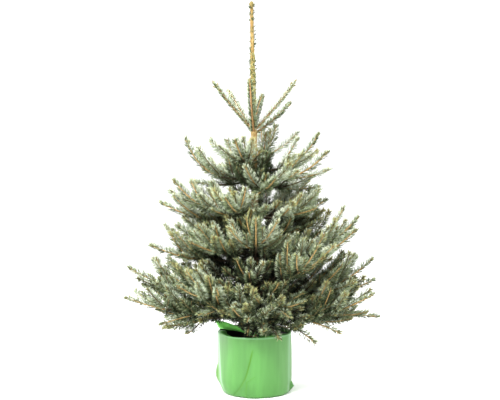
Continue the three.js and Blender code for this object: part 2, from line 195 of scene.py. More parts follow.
def colour(name, description, default):
    """A colour that a user may change."""
    return FloatVectorProperty(name=name, description=description, default=default,
                               size=3, min=0, max=1, subtype="COLOR")


class SpruceFoliage(bpy.types.PropertyGroup):
    needle_length: distance(
        "Needle Length", "Length of a needle half way up a strong shoot", 0.0228, 0.005, 0.03)
    top_needle_length: distance(
        "Top Needle Length", "Length of the needles on the top whorl", 0.0148, 0.005, 0.03)
    needle_width: distance("Needle Width", "Thickness of a needle at its widest", 0.0021, 0.0005, 0.004)
    needles_per_metre: IntProperty(
        name="Needles per Metre", description="How many needles a metre of young shoot carries",
        default=1400, min=100, max=4000)
    # The palest tone is partly real waxy bloom and partly painted glints of light on the needles.
    frosted: colour("Frosted Needles", "Pale waxy bloom of the lightest needles", (0.68, 0.72, 0.58))
    glaucous: colour("Glaucous Needles", "Waxy blue-green of the outer needles", (0.45, 0.51, 0.39))
    green: colour("Green Needles", "Grey-green of most needles", (0.275, 0.325, 0.19))
    # The inner and oldest needle tones are dark partly from age and partly as painted shade inside the crown.
    shade: colour("Inner Needles", "Dark olive of the older needles inside the crown", (0.088, 0.118, 0.06))
    deep: colour(
        "Oldest Needles", "Near-black green of the needles close to the trunk", (0.024, 0.031, 0.017))
    fresh: colour("Tip Needles", "Yellow-green of the needles round a bud", (0.43, 0.43, 0.21))
    young_wood: colour("Young Shoots", "Orange-tan of this year's shoots", (0.48, 0.33, 0.145))
    top_wood: colour("Top Shoots", "Red-brown of the top whorl's shoots", (0.36, 0.225, 0.105))
    fine_wood: colour("Fine Shoots", "Olive-brown of the small shoots", (0.20, 0.175, 0.085))
    old_wood: colour("Old Twigs", "Grey-brown of older twigs", (0.13, 0.10, 0.06))
    bud: colour("Buds", "Light brown of the scaly buds", (0.26, 0.215, 0.10))


class SpruceWood(bpy.types.PropertyGroup):
    bark_relief: distance("Bark Relief", "How far the bark's ridges and scales stand out", 0.0011, 0, 0.004)
    leader_bark: colour("Leader Bark", "Orange-tan of the leader", (0.35, 0.255, 0.095))
    upper_bark: colour("Upper Bark", "Straw of the trunk between the two top whorls", (0.41, 0.31, 0.14))
    lower_bark: colour("Lower Bark", "Brown of the older trunk", (0.24, 0.15, 0.09))


class SpruceWrap(bpy.types.PropertyGroup):
    film_radius: distance("Film Radius", "Mean radius of the wrapped pot", FILM_ROUND * MM, 0.1, 0.14)
    film_height: distance("Film Height", "Height of the film's front rim", FILM_HEIGHT * MM, 0.15, 0.25)
    film_thickness: distance("Film Thickness", "Thickness of the film", 0.0004, 0.0001, 0.002)
    film_colour: colour("Film Colour", "Green of the film", (0.10, 0.268, 0.069))
    pot_colour: colour("Pot Colour", "Black of the nursery pot", (0.020, 0.021, 0.020))
    soil_colour: colour("Soil Colour", "Brown of the potting mix", (0.055, 0.036, 0.022))


class SpruceStage(bpy.types.PropertyGroup):
    camera_distance: distance(
        "Camera Distance", "How far the camera stands in front of the trunk", 3.2, 1, 10)
    camera_height: distance("Camera Height", "Height of the camera over the ground", 0.76, 0.1, 3)
    aim_height: distance("Aim Height", "Height on the trunk that the camera looks at", 0.626, 0, 2)
    lens: FloatProperty(
        name="Lens", description="Focal length of the camera in millimetres",
        default=70.89, min=20, max=200)


# ---------- Growth rule ----------
def chance(*keys):
    """A repeatable number from 0 to 1 for a list of whole-number keys."""
    h = SEED
    for key in keys:
        h = ((h ^ (key + 374761393)) * 668265263) & 0xFFFFFFFF
        h = ((h ^ (h >> 13)) * 2246822519) & 0xFFFFFFFF
        h ^= h >> 16
    return h / 4294967296


def heading(azimuth, rise):
    """Unit vectors with these azimuths and rises, in degrees."""
    a, e = np.radians(azimuth), np.radians(rise)
    return np.stack([np.cos(a) * np.cos(e), np.sin(a) * np.cos(e), np.sin(e)], -1)


class Shoot:
    """One line of growth: it starts with one rise and bends to another, with a slight sway."""

    def __init__(self, start, azimuth, rise_foot, rise_tip, length, bend, sway):
        self.azimuth, self.rise_foot, self.rise_tip = azimuth, rise_foot, rise_tip
        self.length, self.bend, self.sway = length, bend, sway
        steps = self.direction((np.arange(STEPS) + 0.5) / STEPS) * (length / STEPS)
        self.points = np.vstack([start, start + np.cumsum(steps, 0)])
        self.sprouts = 0.0  # share of the shoot where needles begin
        self.foot_radius, self.tip_radius = 2.1, 1.4
        self.top = False  # whether it stands in the top whorl, which has needles of its own
        self.needle = 1.0  # length of its needles against the common length
        self.density = 1.0
        self.open = 18  # needles stand from this far to spread round from its upper side, in degrees
        self.spread = 130
        self.tone = "green"
        self.young_from = 0.0  # share of the shoot where this year's wood begins
        self.fresh = 0.15  # share of yellow-green needles round the bud

    def azimuth_at(self, share):
        return self.azimuth + self.sway * share

    def rise_at(self, share):
        return self.rise_foot + (self.rise_tip - self.rise_foot) * share**self.bend

    def direction(self, share):
        return heading(self.azimuth_at(share), self.rise_at(share))

    def point(self, share):
        at = np.asarray(share, float) * STEPS
        i = np.minimum(at.astype(int), STEPS - 1)
        part = (at - i)[..., None]
        return self.points[i] * (1 - part) + self.points[i + 1] * part


def trunk_centre(z):
    along = max(0.0, (z - COLLAR) / (TRUNK_TIP - COLLAR))
    bow = TRUNK_BOW * math.sin((z - SOIL_TOP) / BOW_LENGTH)
    return np.array([bow + LEADER_LEAN * along, bow * (1 - along), z])


def trunk_radius(z):
    if z > COLLAR:
        along = (z - COLLAR) / (TRUNK_TIP - COLLAR)
        return COLLAR_RADIUS - 1 + (LEADER_TIP_RADIUS - COLLAR_RADIUS + 1) * along
    along = (z - SOIL_TOP) / (COLLAR - SOIL_TOP)
    flare = FLARE * max(0.0, 1 - (z - SOIL_TOP) / FLARE_HEIGHT) ** 2
    return TRUNK_FOOT_RADIUS + (COLLAR_RADIUS - TRUNK_FOOT_RADIUS) * along + flare


def bough_line(tier, t, b):
    azimuth, above, length, rise_foot, rise_tip = tier["boughs"][b]
    start = trunk_centre(tier["height"] + above)
    sway = BOUGH_SWAY * (chance(t, b, 1) - 0.5)
    return Shoot(start, azimuth, rise_foot, rise_tip, length, tier["bend"], sway)


def side_shoot(line, station, side, spread, keys, scale=1.0, climb=SIDE_SHOOT["climb"]):
    """A side shoot by the plant's rule; the keys settle where it differs from the next one."""
    vary = [chance(*keys, what) - 0.5 for what in range(5)]
    share = station + SIDE_SHOOT["shift"] * vary[1]
    full = SIDE_SHOOT["base"] + SIDE_SHOOT["share"] * (1 - share) * line.length
    azimuth = line.azimuth_at(share) + side * (spread + SIDE_SHOOT["turn"] * vary[2])
    rise = SIDE_SHOOT["rise"] + line.rise_at(share) * SIDE_SHOOT["follow"] + climb * vary[3]
    length = scale * full * (1 + SIDE_SHOOT["vary"] * vary[4])
    return Shoot(line.point(share), azimuth, rise, rise + SIDE_SHOOT["lift"], length,
                 SIDE_SHOOT["bend"], -side * SIDE_SHOOT["sway"])


def strong_shoots(line, tier, keys):
    """A pair at each station, one to the left and one to the right."""
    return [
        side_shoot(line, station, side, tier["spread"], (*keys, n, m))
        for n, station in enumerate(tier["stations"])
        for m, side in enumerate((-1, 1))
    ]


def upright_shoots(line, tier, keys):
    """One clean shoot that stands up from each station."""
    made = []
    for n, station in enumerate(tier["stations"]):
        side = 1 if chance(*keys, 90 + n) < 0.5 else -1
        scale = UPRIGHT["sparse_scale" if tier.get("sparse") else "scale"]
        shoot = side_shoot(line, station - 0.02, side, UPRIGHT["turn"], (*keys, 90 + n), scale)
        rise = line.rise_at(station) + UPRIGHT["rise"] + UPRIGHT["vary"] * (chance(*keys, 96 + n) - 0.5)
        rise = max(UPRIGHT["least"], min(UPRIGHT["most"], rise))
        made.append(Shoot(shoot.points[0], shoot.azimuth, rise, rise + UPRIGHT["lift"],
                          shoot.length, 1, shoot.sway))
    return made


def fine_shoots(line, tier, first, keys):
    """Small side shoots on older wood, to both sides in turn."""
    last = tier.get("fine_to", tier["stations"][0] - 0.05)
    count = max(1, round((last - first) * line.length / FINE["spacing"]))
    made = []
    for n in range(count):
        station = first + (last - first) * (n + chance(*keys, 40 + n)) / count
        made.append(side_shoot(line, station, -1 if n % 2 else 1, tier["spread"] + 10, (*keys, 40 + n),
                               FINE["scale"], FINE["climb"]))
    return made


def deal_tone(shoot, keys):
    """Outer and higher sprays are waxy and light, inner and lower ones dark."""
    x, y, z = shoot.point(0.7)
    height = (z - SOIL_TOP) / (COLLAR - SOIL_TOP)
    outward = math.hypot(x, y) / crown_radius(z)
    dice = chance(*keys, 77) + 0.8 * (outward - 0.6) + 0.35 * (height - 0.5)
    dice += 1.1 * max(0.0, height - 0.5)
    if dice > GLAUCOUS_OVER:
        return "glaucous"
    return "green" if dice > GREEN_OVER else "shade"


def crown_radius(z):
    """How far the crown reaches out at a height."""
    return CROWN["low"] - CROWN["taper"] * np.clip((z - SOIL_TOP) / (COLLAR - SOIL_TOP), 0, 1)


def clothe(line, tier, keys, sprouts, first, foot, tip=1.6):
    """A bough with everything that grows on it. Needles begin at sprouts and fine shoots at first;
    the sparse boughs near the top have few fine shoots or none. foot and tip are its radii."""
    line.sprouts, line.young_from = sprouts, tier["stations"][0]
    line.foot_radius, line.tip_radius = foot, tip
    strong = strong_shoots(line, tier, keys)
    others = upright_shoots(line, tier, keys)
    if "fine_to" in tier or not tier.get("sparse"):
        others += fine_shoots(line, tier, first, keys)
    shoots = [line]
    for n, shoot in enumerate(strong + others):
        shoot.foot_radius, shoot.tip_radius = 2.2, 1.6
        shoot.tone = deal_tone(shoot, (*keys, n))
        if chance(*keys, n, 8) < tier.get("round", ROUND_SHARE):  # needled all round
            shoot.open, shoot.spread = 0, 178
        if chance(*keys, n, 9) < 0.28:
            shoot.fresh = 0.8
        shoots.append(shoot)
        if n < len(strong) and shoot.length > PAIR["longest"] and not tier.get("sparse"):
            shoot.young_from = 0.2
            for m, side in enumerate((-1, 1)):
                pair_keys = (*keys, n + 1, 60 + m)
                small = side_shoot(shoot, PAIR["place"], side, 44, pair_keys, PAIR["scale"])
                small.foot_radius, small.tip_radius, small.needle = 1.7, 1.3, 0.9
                small.tone = deal_tone(small, pair_keys)
                shoots.append(small)
    return shoots


def grow_tier(t, tier):
    """Every shoot of a tier."""
    shoots = []
    for b in range(len(tier["boughs"])):
        line = bough_line(tier, t, b)
        if tier["name"] != "top":
            shoots += clothe(line, tier, (t, b), sprouts=0.1, first=0.14, foot=4.4, tip=1.8)
            continue
        line.top, line.sprouts, line.spread, line.density = True, 0.03, 140, 1.55
        line.foot_radius, line.tip_radius = 3.8, 2.9
        line.tone = "glaucous" if b % 3 == 1 else "green"
        shoots.append(line)
    return shoots


def skirt_boughs():
    """The low boughs that droop over the rim."""
    shoots = []
    for b in range(len(SKIRT["boughs"])):
        line = bough_line(SKIRT, 10, b)
        shoots += clothe(line, SKIRT, (10, b), sprouts=0.12, first=0.2, foot=3.2)
    return shoots


def spiral_place(group, n, vary):
    """How far up its group the nth growth of a spiral stands, its height and its length."""
    along = (n + 0.8 * vary) / group["count"]
    height = group["low"] + (group["high"] - group["low"]) * along
    return along, height, group["low_length"] + (group["high_length"] - group["low_length"]) * along


def between_whorls(first, last):
    """Smaller boughs that stand on the trunk between the whorls, in a spiral, and fill the crown."""
    shoots = []
    for n in range(first, last):
        along, z, length = spiral_place(BETWEEN, n, chance(n, 5))
        length *= 0.8 + 0.4 * chance(n, 7)
        foot = 2 + 16 * chance(n, 8)
        tip = -14 + 44 * chance(n, 9) + 90 * min(along, 0.4)
        azimuth = SPIRAL * n + 30 * chance(n, 6)
        sway = 20 * chance(n, 4) - 10
        line = Shoot(trunk_centre(z), azimuth, foot, tip, length, BETWEEN["bend"], sway)
        shoots += clothe(line, BETWEEN, (20, n), sprouts=0.12, first=0.16, foot=3.0)
    return shoots


def trunk_shoots():
    """Short steep shoots on the trunk itself, in a spiral."""
    shoots = []
    for n in range(TRUNK_SHOOTS["count"]):
        _, z, length = spiral_place(TRUNK_SHOOTS, n, chance(30, n, 1))
        length *= 0.8 + 0.4 * chance(30, n, 4)
        rise = 8 + 40 * chance(30, n, 2)
        azimuth = SPIRAL * n + 40 * chance(30, n, 3)
        shoot = Shoot(trunk_centre(z), azimuth, rise, rise + 34, length, 1, 0)
        shoot.sprouts, shoot.open, shoot.spread = 0.12, 0, 178
        shoot.tone = "shade" if chance(30, n, 5) < 0.3 else "green"
        shoots.append(shoot)
    return shoots


# ---------- Meshes from arrays ----------
def frames_along(tangent):
    """For each direction, the level side square to it, and the side square to both, which faces up."""
    side = np.cross(tangent, [0.0, 0.0, 1.0])
    size = np.linalg.norm(side, axis=-1, keepdims=True)
    side = np.where(size > 1e-4, side / np.maximum(size, 1e-4), [1.0, 0.0, 0.0])
    return side, np.cross(side, tangent)


def unit(vectors):
    return vectors / np.linalg.norm(vectors, axis=-1, keepdims=True)


def mesh_from(name, points, faces):
    """A smooth mesh object from vertices in millimetres and triangles."""
    mesh = bpy.data.meshes.new(name)
    mesh.vertices.add(len(points))
    mesh.vertices.foreach_set("co", (points * MM).astype(np.float32).ravel())
    mesh.loops.add(faces.size)
    mesh.loops.foreach_set("vertex_index", faces.astype(np.int32).ravel())
    mesh.polygons.add(len(faces))
    mesh.polygons.foreach_set("loop_start", np.arange(0, faces.size, 3, dtype=np.int32))
    mesh.polygons.foreach_set("loop_total", np.full(len(faces), 3, dtype=np.int32))
    mesh.polygons.foreach_set("use_smooth", np.full(len(faces), True))
    mesh.update(calc_edges=True)
    mesh.validate()
    made = bpy.data.objects.new(name, mesh)
    bpy.context.collection.objects.link(made)
    return made


TONES = ("frosted", "glaucous", "green", "shade", "deep", "fresh")  # from the lightest to the darkest
NEEDLE_FACES = np.array([[0, 2, 1], [0, 3, 2], [0, 1, 3], [1, 2, 4], [2, 3, 4], [3, 1, 4]])


def needle_points(root, along, bow, length, width):
    """Five vertices a needle: its foot, three round its widest place, and its point."""
    first = unit(np.cross(along, bow))
    second = np.cross(along, first)
    middle = root + along * (length * NEEDLE["widest"])[:, None] + bow * (length * 0.03)[:, None]
    rings = [
        middle + (first * math.cos(turn) + second * math.sin(turn)) * (width * 0.5)[:, None]
        for turn in (0.0, 2 * math.pi / 3, 4 * math.pi / 3)
    ]
    tip = root + along * length[:, None] + bow * (length * 0.1)[:, None]
    return np.stack([root, *rings, tip], 1)


def shoot_needles(shoot, index, settings):
    """The needles of one shoot, with the number of each one's tone."""
    rng = np.random.default_rng(SEED * 100003 + index)
    bare = shoot.sprouts
    count = int(settings.needles_per_metre * MM * shoot.length * (1 - bare) * shoot.density)
    share = bare + (1 - bare) * ((np.arange(count) + rng.random(count)) / count) ** 0.8
    share = share[(share >= shoot.young_from) | (rng.random(count) > 0.3)]  # old wood has shed some
    count = len(share)
    tangent = shoot.direction(share)
    side, up = frames_along(tangent)
    turn = shoot.open + (shoot.spread - shoot.open) * rng.random(count) ** 0.72
    turn = np.radians(turn) * rng.choice([-1, 1], count)
    outward = up * np.cos(turn)[:, None] + side * np.sin(turn)[:, None]
    near_tip = np.clip(1 - (1 - share) * shoot.length / NEEDLE["tip"], 0, 1)
    near_foot = np.clip(1 - (share - bare) * shoot.length / NEEDLE["foot"], 0, 1)
    lean = NEEDLE["top_lean" if shoot.top else "lean"] + NEEDLE["lean_vary"] * (rng.random(count) - 0.5)
    lean = np.radians(lean - NEEDLE["close"] * near_tip)
    along = tangent * np.cos(lean)[:, None] + outward * np.sin(lean)[:, None]
    stray = NEEDLE["stray"] * rng.standard_normal((count, 3))
    along = unit(along + np.array([0, 0, NEEDLE["up"]]) + stray)
    full = settings.top_needle_length if shoot.top else settings.needle_length
    length = full / MM * shoot.needle * (0.88 + 0.24 * rng.random(count))
    shorter = NEEDLE["top_shorter" if shoot.top else "shorter"]
    length *= 1 - shorter * near_tip - NEEDLE["foot_shorter"] * near_foot
    width = settings.needle_width / MM * (0.85 + 0.3 * rng.random(count))
    radius = shoot.foot_radius + (shoot.tip_radius - shoot.foot_radius) * share
    root = shoot.point(share) + outward * (radius * 0.6)[:, None]
    points = needle_points(root, along, unit(tangent + 0.2 * outward), length, width)

    under = np.abs(turn) > np.radians(95)  # painted shade: the needles on a shoot's lower side are dealt a darker tone
    last = -1 if shoot.points[0][2] > WEATHERED_BELOW else 1
    # The lighter tone dealt to many needles gives the palest ones, which are partly painted glints.
    tone = TONES.index(shoot.tone) + rng.choice([-1, -1, -1, 0, 0, 0, 0, last], count) + under
    tone += share < shoot.young_from
    low = root[:, 2] < WEATHERED_BELOW
    tone = np.clip(tone, low & (rng.random(count) < 0.6), TONES.index("shade"))
    away = np.hypot(root[:, 0], root[:, 1])
    # painted shade: needles deep inside the crown take the darkest tones
    inside = away / crown_radius(root[:, 2]) < 0.3 + 0.22 * rng.random(count)
    inside &= not shoot.top
    if shoot.points[0][2] < DEEP_SHADE_BELOW:
        tone[inside] = TONES.index("deep")
    else:
        tone[inside & (rng.random(count) < 0.5)] = TONES.index("shade")
    at_trunk = away < 18 + 22 * rng.random(count)
    tone[at_trunk & (root[:, 2] < SHADED_BELOW)] = TONES.index("shade")
    tone[~inside & (rng.random(count) < shoot.fresh * near_tip)] = TONES.index("fresh")
    kept = (tone != TONES.index("deep")) | (rng.random(count) < 0.65)
    return points[kept], tone[kept]


def needle_pieces(name, points, tones, finishes, *masses):
    """One piece for each tone of needles."""
    for number, tone in enumerate(TONES):
        kept = points[tones == number]
        if not len(kept):
            continue
        faces = (NEEDLE_FACES[None] + (np.arange(len(kept)) * 5)[:, None, None]).reshape(-1, 3)
        if len(faces) > MOST_FACES:
            raise RuntimeError(f"{name} {tone} needles make {len(faces)} triangles")
        piece = mesh_from(f"{name}_{tone}_needles", kept.reshape(-1, 3), faces)
        settle(piece, finishes[tone], "needles", *masses)


def tubes(lines, rings, sides):
    """Closed round tubes along many shoots: each line is (shoot, from, to, foot radius, tip radius)."""
    centres, tangents, radii = [], [], []
    for shoot, start, end, foot, tip in lines:
        share = np.linspace(start, end, rings)
        centres.append(shoot.point(share))
        tangents.append(shoot.direction(share))
        radii.append(np.linspace(foot, tip, rings))
    centres, tangents, radii = np.array(centres), np.array(tangents), np.array(radii)
    side, up = frames_along(tangents)
    angles = 2 * np.pi * np.arange(sides) / sides
    spokes = side[:, :, None] * np.cos(angles)[:, None] + up[:, :, None] * np.sin(angles)[:, None]
    walls = centres[:, :, None] + spokes * radii[:, :, None, None]
    caps = np.stack([centres[:, 0], centres[:, -1]], 1)
    points = np.concatenate([walls.reshape(len(lines), -1, 3), caps], 1)
    ring = np.arange(sides)
    after = (ring + 1) % sides
    faces = []
    for r in range(rings - 1):
        low, high = r * sides, (r + 1) * sides
        faces += zip(low + ring, high + after, low + after)
        faces += zip(low + ring, high + ring, high + after)
    foot_cap, tip_cap, last = rings * sides, rings * sides + 1, (rings - 1) * sides
    faces += [(foot_cap, r, a) for r, a in zip(ring, after)]
    faces += [(tip_cap, last + a, last + r) for r, a in zip(ring, after)]
    faces = np.array(faces)
    per = points.shape[1]
    faces = (faces[None] + (np.arange(len(lines)) * per)[:, None, None]).reshape(-1, 3)
    return points.reshape(-1, 3), faces


BUD_ROWS = [(0.0, 0.0), (1.2, 0.8), (2.6, 1.0), (4.2, 0.62), (5.4, 0.0)]  # height and width, in radii


def bud(points, faces, foot, along, radius):
    """Adds a plump pointed bud that stands at foot and points along."""
    side, up = (across[0] for across in frames_along(along[None]))
    levels = []
    for height, wide in BUD_ROWS:
        centre = foot + along * (height * radius)
        angles = [0.0] if wide == 0 else [2 * math.pi * k / 6 for k in range(6)]
        levels.append(range(len(points), len(points) + len(angles)))
        points += [centre + (side * math.cos(a) + up * math.sin(a)) * (radius * wide) for a in angles]
    for low, high in zip(levels, levels[1:]):
        for k in range(6):
            a, b = low[k % len(low)], low[(k + 1) % len(low)]
            c, d = high[k % len(high)], high[(k + 1) % len(high)]
            if a != b:
                faces.append((a, b, d))
            if c != d:
                faces.append((a, d, c))


def tip_buds(shoots):
    """A bud at each shoot's tip, and two smaller ones beside it on the strong shoots."""
    points, faces = [], []
    for n, shoot in enumerate(shoots):
        tangent = shoot.direction(np.array([1.0]))
        side, up = (across[0] for across in frames_along(tangent))
        tangent = tangent[0]
        radius = shoot.tip_radius * (1.35 + 0.35 * chance(n, 3))
        tip = shoot.points[-1] - tangent * (2.2 * radius)
        bud(points, faces, tip, tangent, radius)
        if shoot.tip_radius > 1.55:
            turn = 6.28 * chance(n, 4)
            out = side * math.cos(turn) + up * math.sin(turn)
            for lean in (out, -out):
                bud(points, faces, tip - tangent * radius, unit(tangent + 0.9 * lean), radius * 0.7)
    return np.array(points), np.array(faces)


def settle(piece, material, slot, *nodes):
    """Gives a finished piece its material and body, and hides the nodes that it stands for. slot is not used.
    """
    piece.data.materials.clear()
    piece.data.materials.append(material)
    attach(piece, BODY)
    if nodes:
        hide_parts(*nodes)
    return piece


def skin(name, across, along, place, thickness=0.0):
    """A surface from a grid: place(u, w) gives each point, with u round the piece and w along it."""
    bm = bmesh.new()
    bmesh.ops.create_grid(bm, x_segments=across, y_segments=along, size=0.5)
    for v in bm.verts:
        v.co = place(v.co.x + 0.5, v.co.y + 0.5)
    bmesh.ops.remove_doubles(bm, verts=bm.verts, dist=1e-6)
    bmesh.ops.recalc_face_normals(bm, faces=bm.faces)
    for face in bm.faces:
        face.smooth = True
    mesh = bpy.data.meshes.new(name)
    bm.to_mesh(mesh)
    bm.free()
    made = bpy.data.objects.new(name, mesh)
    bpy.context.collection.objects.link(made)
    if thickness:
        wall = made.modifiers.new("Wall", "SOLIDIFY")
        wall.thickness, wall.offset = thickness, -1
    return made


# ---------- Materials ----------
class Finish:
    """A node material under construction, with its pattern on the piece's own coordinates."""

    def __init__(self, name, roughness, scale=(1, 1, 1)):
        self.material = bpy.data.materials.new(name)
        self.material.use_nodes = True
        self.nodes, self.links = self.material.node_tree.nodes, self.material.node_tree.links
        self.shader = self.nodes["Principled BSDF"]
        self.shader.inputs["Roughness"].default_value = roughness
        self.place = self.nodes.new("ShaderNodeTexCoord").outputs["Object"]
        self.mapping = self.nodes.new("ShaderNodeMapping")
        self.mapping.inputs["Scale"].default_value = scale
        self.links.new(self.place, self.mapping.inputs["Vector"])

    def pattern(self, scale, detail=4.0, roughness=0.6, distortion=0.0):
        made = self.nodes.new("ShaderNodeTexNoise")
        made.inputs["Scale"].default_value = scale
        made.inputs["Detail"].default_value = detail
        made.inputs["Roughness"].default_value = roughness
        made.inputs["Distortion"].default_value = distortion
        self.links.new(self.mapping.outputs["Vector"], made.inputs["Vector"])
        return made.outputs["Fac"]

    def ramp(self, value, *stops):
        made = self.nodes.new("ShaderNodeValToRGB")
        elements = made.color_ramp.elements
        while len(elements) < len(stops):
            elements.new(0.5)
        for element, (position, colour) in zip(elements, stops):
            element.position = position
            element.color = (*colour, 1)
        self.links.new(value, made.inputs["Fac"])
        return made.outputs["Color"]

    def blend(self, factor, first, second, mode="MIX"):
        made = self.nodes.new("ShaderNodeMix")
        made.data_type, made.blend_type = "RGBA", mode
        for socket, value in ((made.inputs[0], factor), (made.inputs[6], first), (made.inputs[7], second)):
            if isinstance(value, bpy.types.NodeSocket):
                self.links.new(value, socket)
            elif isinstance(value, (int, float)):
                socket.default_value = value
            else:
                socket.default_value = (*value, 1)
        return made.outputs[2]

    def height(self):
        """The height over the ground, in metres."""
        made = self.nodes.new("ShaderNodeSeparateXYZ")
        self.links.new(self.place, made.inputs[0])
        return made.outputs["Z"]

    def painted(self, name):
        """The value of this name that is painted on the piece's points."""
        made = self.nodes.new("ShaderNodeAttribute")
        made.attribute_name = name
        return made.outputs["Fac"]

    def range(self, value, low, high, to_low=0.0, to_high=1.0):
        made = self.nodes.new("ShaderNodeMapRange")
        for name, number in (("From Min", low), ("From Max", high), ("To Min", to_low), ("To Max", to_high)):
            made.inputs[name].default_value = number
        self.links.new(value, made.inputs["Value"])
        return made.outputs["Result"]

    def colour(self, output):
        self.links.new(output, self.shader.inputs["Base Color"])

    def rough(self, value, low, high):
        self.links.new(self.range(value, 0.3, 0.7, low, high), self.shader.inputs["Roughness"])

    def bump(self, value, strength, distance):
        made = self.nodes.new("ShaderNodeBump")
        made.inputs["Strength"].default_value = strength
        made.inputs["Distance"].default_value = distance
        self.links.new(value, made.inputs["Height"])
        self.links.new(made.outputs["Normal"], self.shader.inputs["Normal"])


def shade_of(colour, factor):
    return tuple(min(1.0, part * factor) for part in colour)


def needle_finish(name, colour):
    """Waxy needles: a little lighter and darker from place to place, with a soft sheen."""
    made = Finish(name, 0.5)
    patches = made.pattern(55, 3)
    tone = made.ramp(patches, (0.3, shade_of(colour, 0.78)), (0.5, colour), (0.72, shade_of(colour, 1.2)))
    made.colour(tone)
    made.rough(made.pattern(260, 2), 0.42, 0.62)
    made.shader.inputs["Specular IOR Level"].default_value = 0.35
    return made.material


def needle_finishes(settings):
    """A finish for each tone, made once."""
    return {
        tone: bpy.data.materials.get(f"{tone}_needles")
        or needle_finish(f"{tone}_needles", tuple(getattr(settings, tone)))
        for tone in TONES
    }


def twig_finish(name, colour):
    """Matt skin of shoots and buds, with fine grain."""
    made = Finish(name, 0.6)
    grain = made.pattern(300, 4, 0.7)
    tone = made.ramp(grain, (0.34, shade_of(colour, 0.35)), (0.5, colour), (0.66, shade_of(colour, 1.35)))
    made.colour(tone)
    made.rough(grain, 0.5, 0.75)
    made.bump(grain, 0.5, 0.0006)
    return made.material


def bark_finish(name, wood):
    """Tan on the leader, straw above the upper whorl, brown and grey lower down."""
    made = Finish(name, 0.75, (1, 1, 0.35))
    grain = made.pattern(330, 6, 0.7, 0.4)
    flakes = made.pattern(90, 5, 0.65, 0.8)
    low = made.ramp(flakes, (0.32, shade_of(wood.lower_bark, 0.5)), (0.5, tuple(wood.lower_bark)),
                    (0.68, (0.34, 0.27, 0.21)))
    straw = made.ramp(flakes, (0.3, (0.34, 0.20, 0.08)), (0.5, tuple(wood.upper_bark)),
                      (0.7, (0.64, 0.52, 0.29)))
    leader = made.ramp(flakes, (0.3, (0.33, 0.17, 0.06)), (0.5, tuple(wood.leader_bark)),
                       (0.7, (0.56, 0.45, 0.21)))
    olive = made.ramp(flakes, (0.3, (0.24, 0.21, 0.07)), (0.55, (0.45, 0.38, 0.15)),
                      (0.7, (0.58, 0.50, 0.24)))
    height = made.height()
    colour = made.blend(made.range(height, 0.60, 0.72), low, straw)
    colour = made.blend(made.range(height, 0.86, 0.92), colour, olive)
    colour = made.blend(made.range(height, 1.0, 1.12), colour, leader)
    cracks = made.range(grain, 0.35, 0.65, 0.0, 0.5)
    colour = made.blend(cracks, colour, (0.3, 0.204, 0.108), "MULTIPLY")
    flecks = made.range(made.pattern(210, 2, 0.5), 0.54, 0.63, 0.0, 0.8)
    colour = made.blend(flecks, colour, (0.17, 0.13, 0.05))
    made.colour(made.blend(made.range(height, 1.246, 1.256, 0.0, 0.8), colour, (0.24, 0.20, 0.075)))
    made.rough(grain, 0.6, 0.9)
    made.bump(grain, 0.6, 0.0009)
    return made.material


def film_finish(name, colour):
    """Satin green film: broad soft upright streaks, a deeper green where it lies double and painted shade
    along its creases, and painted highlight streaks.
    """
    made = Finish(name, 0.34, (1, 1, 0.12))
    made.shader.inputs["Coat Weight"].default_value = 0.22
    made.shader.inputs["Coat Roughness"].default_value = 0.16
    streaks = made.pattern(16, 2, 0.5, 0.2)
    tone = made.ramp(streaks, (0.34, shade_of(colour, 0.9)), (0.5, colour), (0.64, shade_of(colour, 1.06)))
    tone = made.blend(made.range(made.pattern(90, 2, 0.5), 0.4, 0.7, 0.0, 0.2), tone, shade_of(colour, 0.6))
    crease_shade = tuple(part * share for part, share in zip(colour, (0.8, 0.84, 0.3)))
    # the creases take a deeper green, partly film lying double and partly painted shade
    tone = made.blend(made.painted("fold"), tone, crease_shade)
    # painted highlight: pale reflection streaks and a light rim line on the film
    made.colour(made.blend(made.painted("stretch"), tone, (0.50, 0.78, 0.58)))
    made.rough(streaks, 0.3, 0.4)
    made.bump(made.pattern(60, 3, 0.5), 0.08, 0.0004)
    return made.material


def pot_finish(name, colour):
    made = Finish(name, 0.55)
    grain = made.pattern(600, 4)
    made.colour(made.ramp(made.pattern(30, 5), (0.35, colour), (0.65, shade_of(colour, 2.2))))
    made.rough(grain, 0.45, 0.65)
    made.bump(grain, 0.2, 0.0003)
    return made.material


def soil_finish(name, colour):
    made = Finish(name, 0.95)
    crumbs = made.pattern(170, 8, 0.75)
    fibres = made.pattern(420, 4, 0.6, 1.5)
    tone = made.ramp(crumbs, (0.3, shade_of(colour, 0.45)), (0.52, colour), (0.72, shade_of(colour, 2.4)))
    made.colour(made.blend(made.range(fibres, 0.6, 0.75, 0.0, 0.4), tone, (0.22, 0.14, 0.07)))
    made.rough(crumbs, 0.85, 1.0)
    made.bump(crumbs, 0.9, 0.003)
    return made.material


